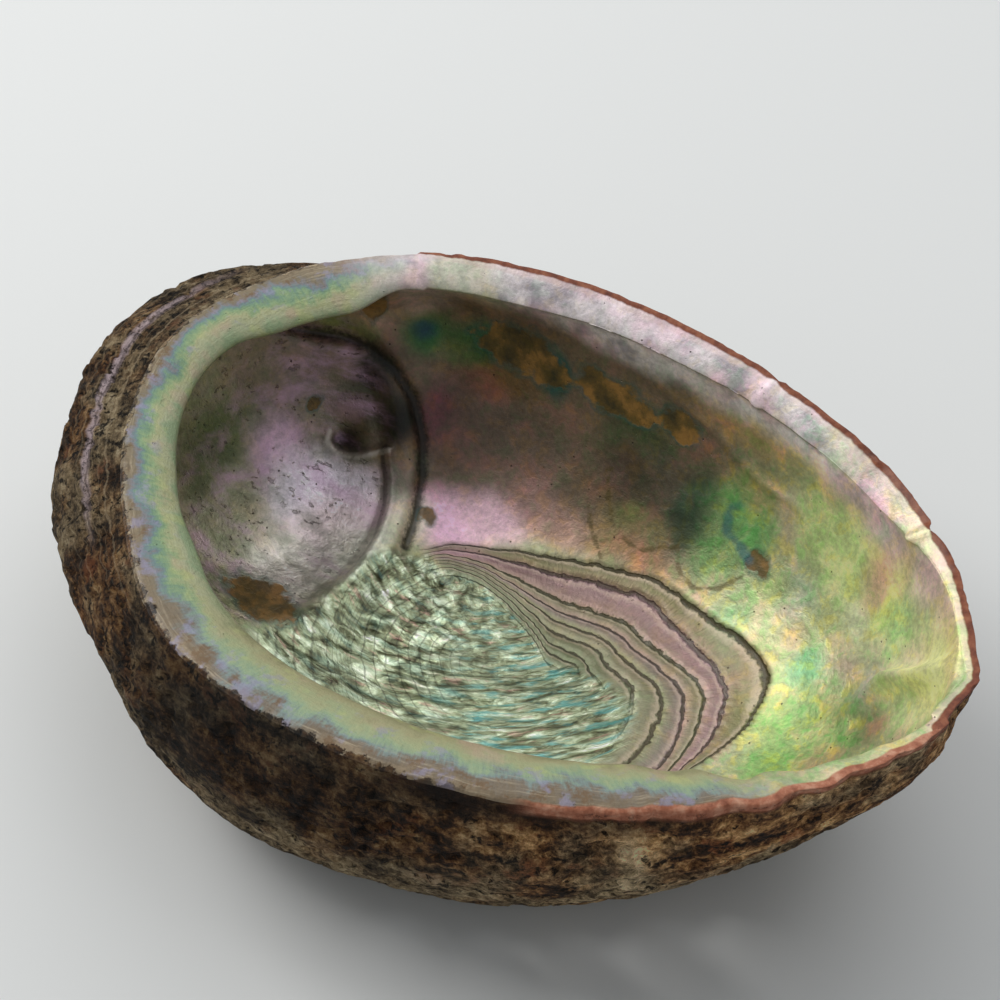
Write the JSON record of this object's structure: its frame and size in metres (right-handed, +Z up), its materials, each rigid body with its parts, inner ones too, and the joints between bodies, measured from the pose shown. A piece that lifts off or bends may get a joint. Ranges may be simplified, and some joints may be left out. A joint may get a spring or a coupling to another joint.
{
  "type": "abalone shell",
  "caption": "Empty abalone shell lying on its back, an oval iridescent bowl with a broad inner lip, a low spire and a row of breathing holes.",
  "frame": {"origin": "centre of the bounding box at the bottom, on the surface that the shell rests on", "axes": "+X along the length, from the spire to the growing end; +Y towards the thin outer lip, so the inner lip and the holes are on the -Y side; +Z up, out of the aperture"},
  "size_m": [0.2076, 0.1434, 0.062],
  "materials": {
    "shell": "polished iridescent nacre inside, rough brown crust outside, red-brown edge on the outer lip"
  },
  "bodies": {
    "root": {"shell": "shell"}
  },
  "joints": []
}
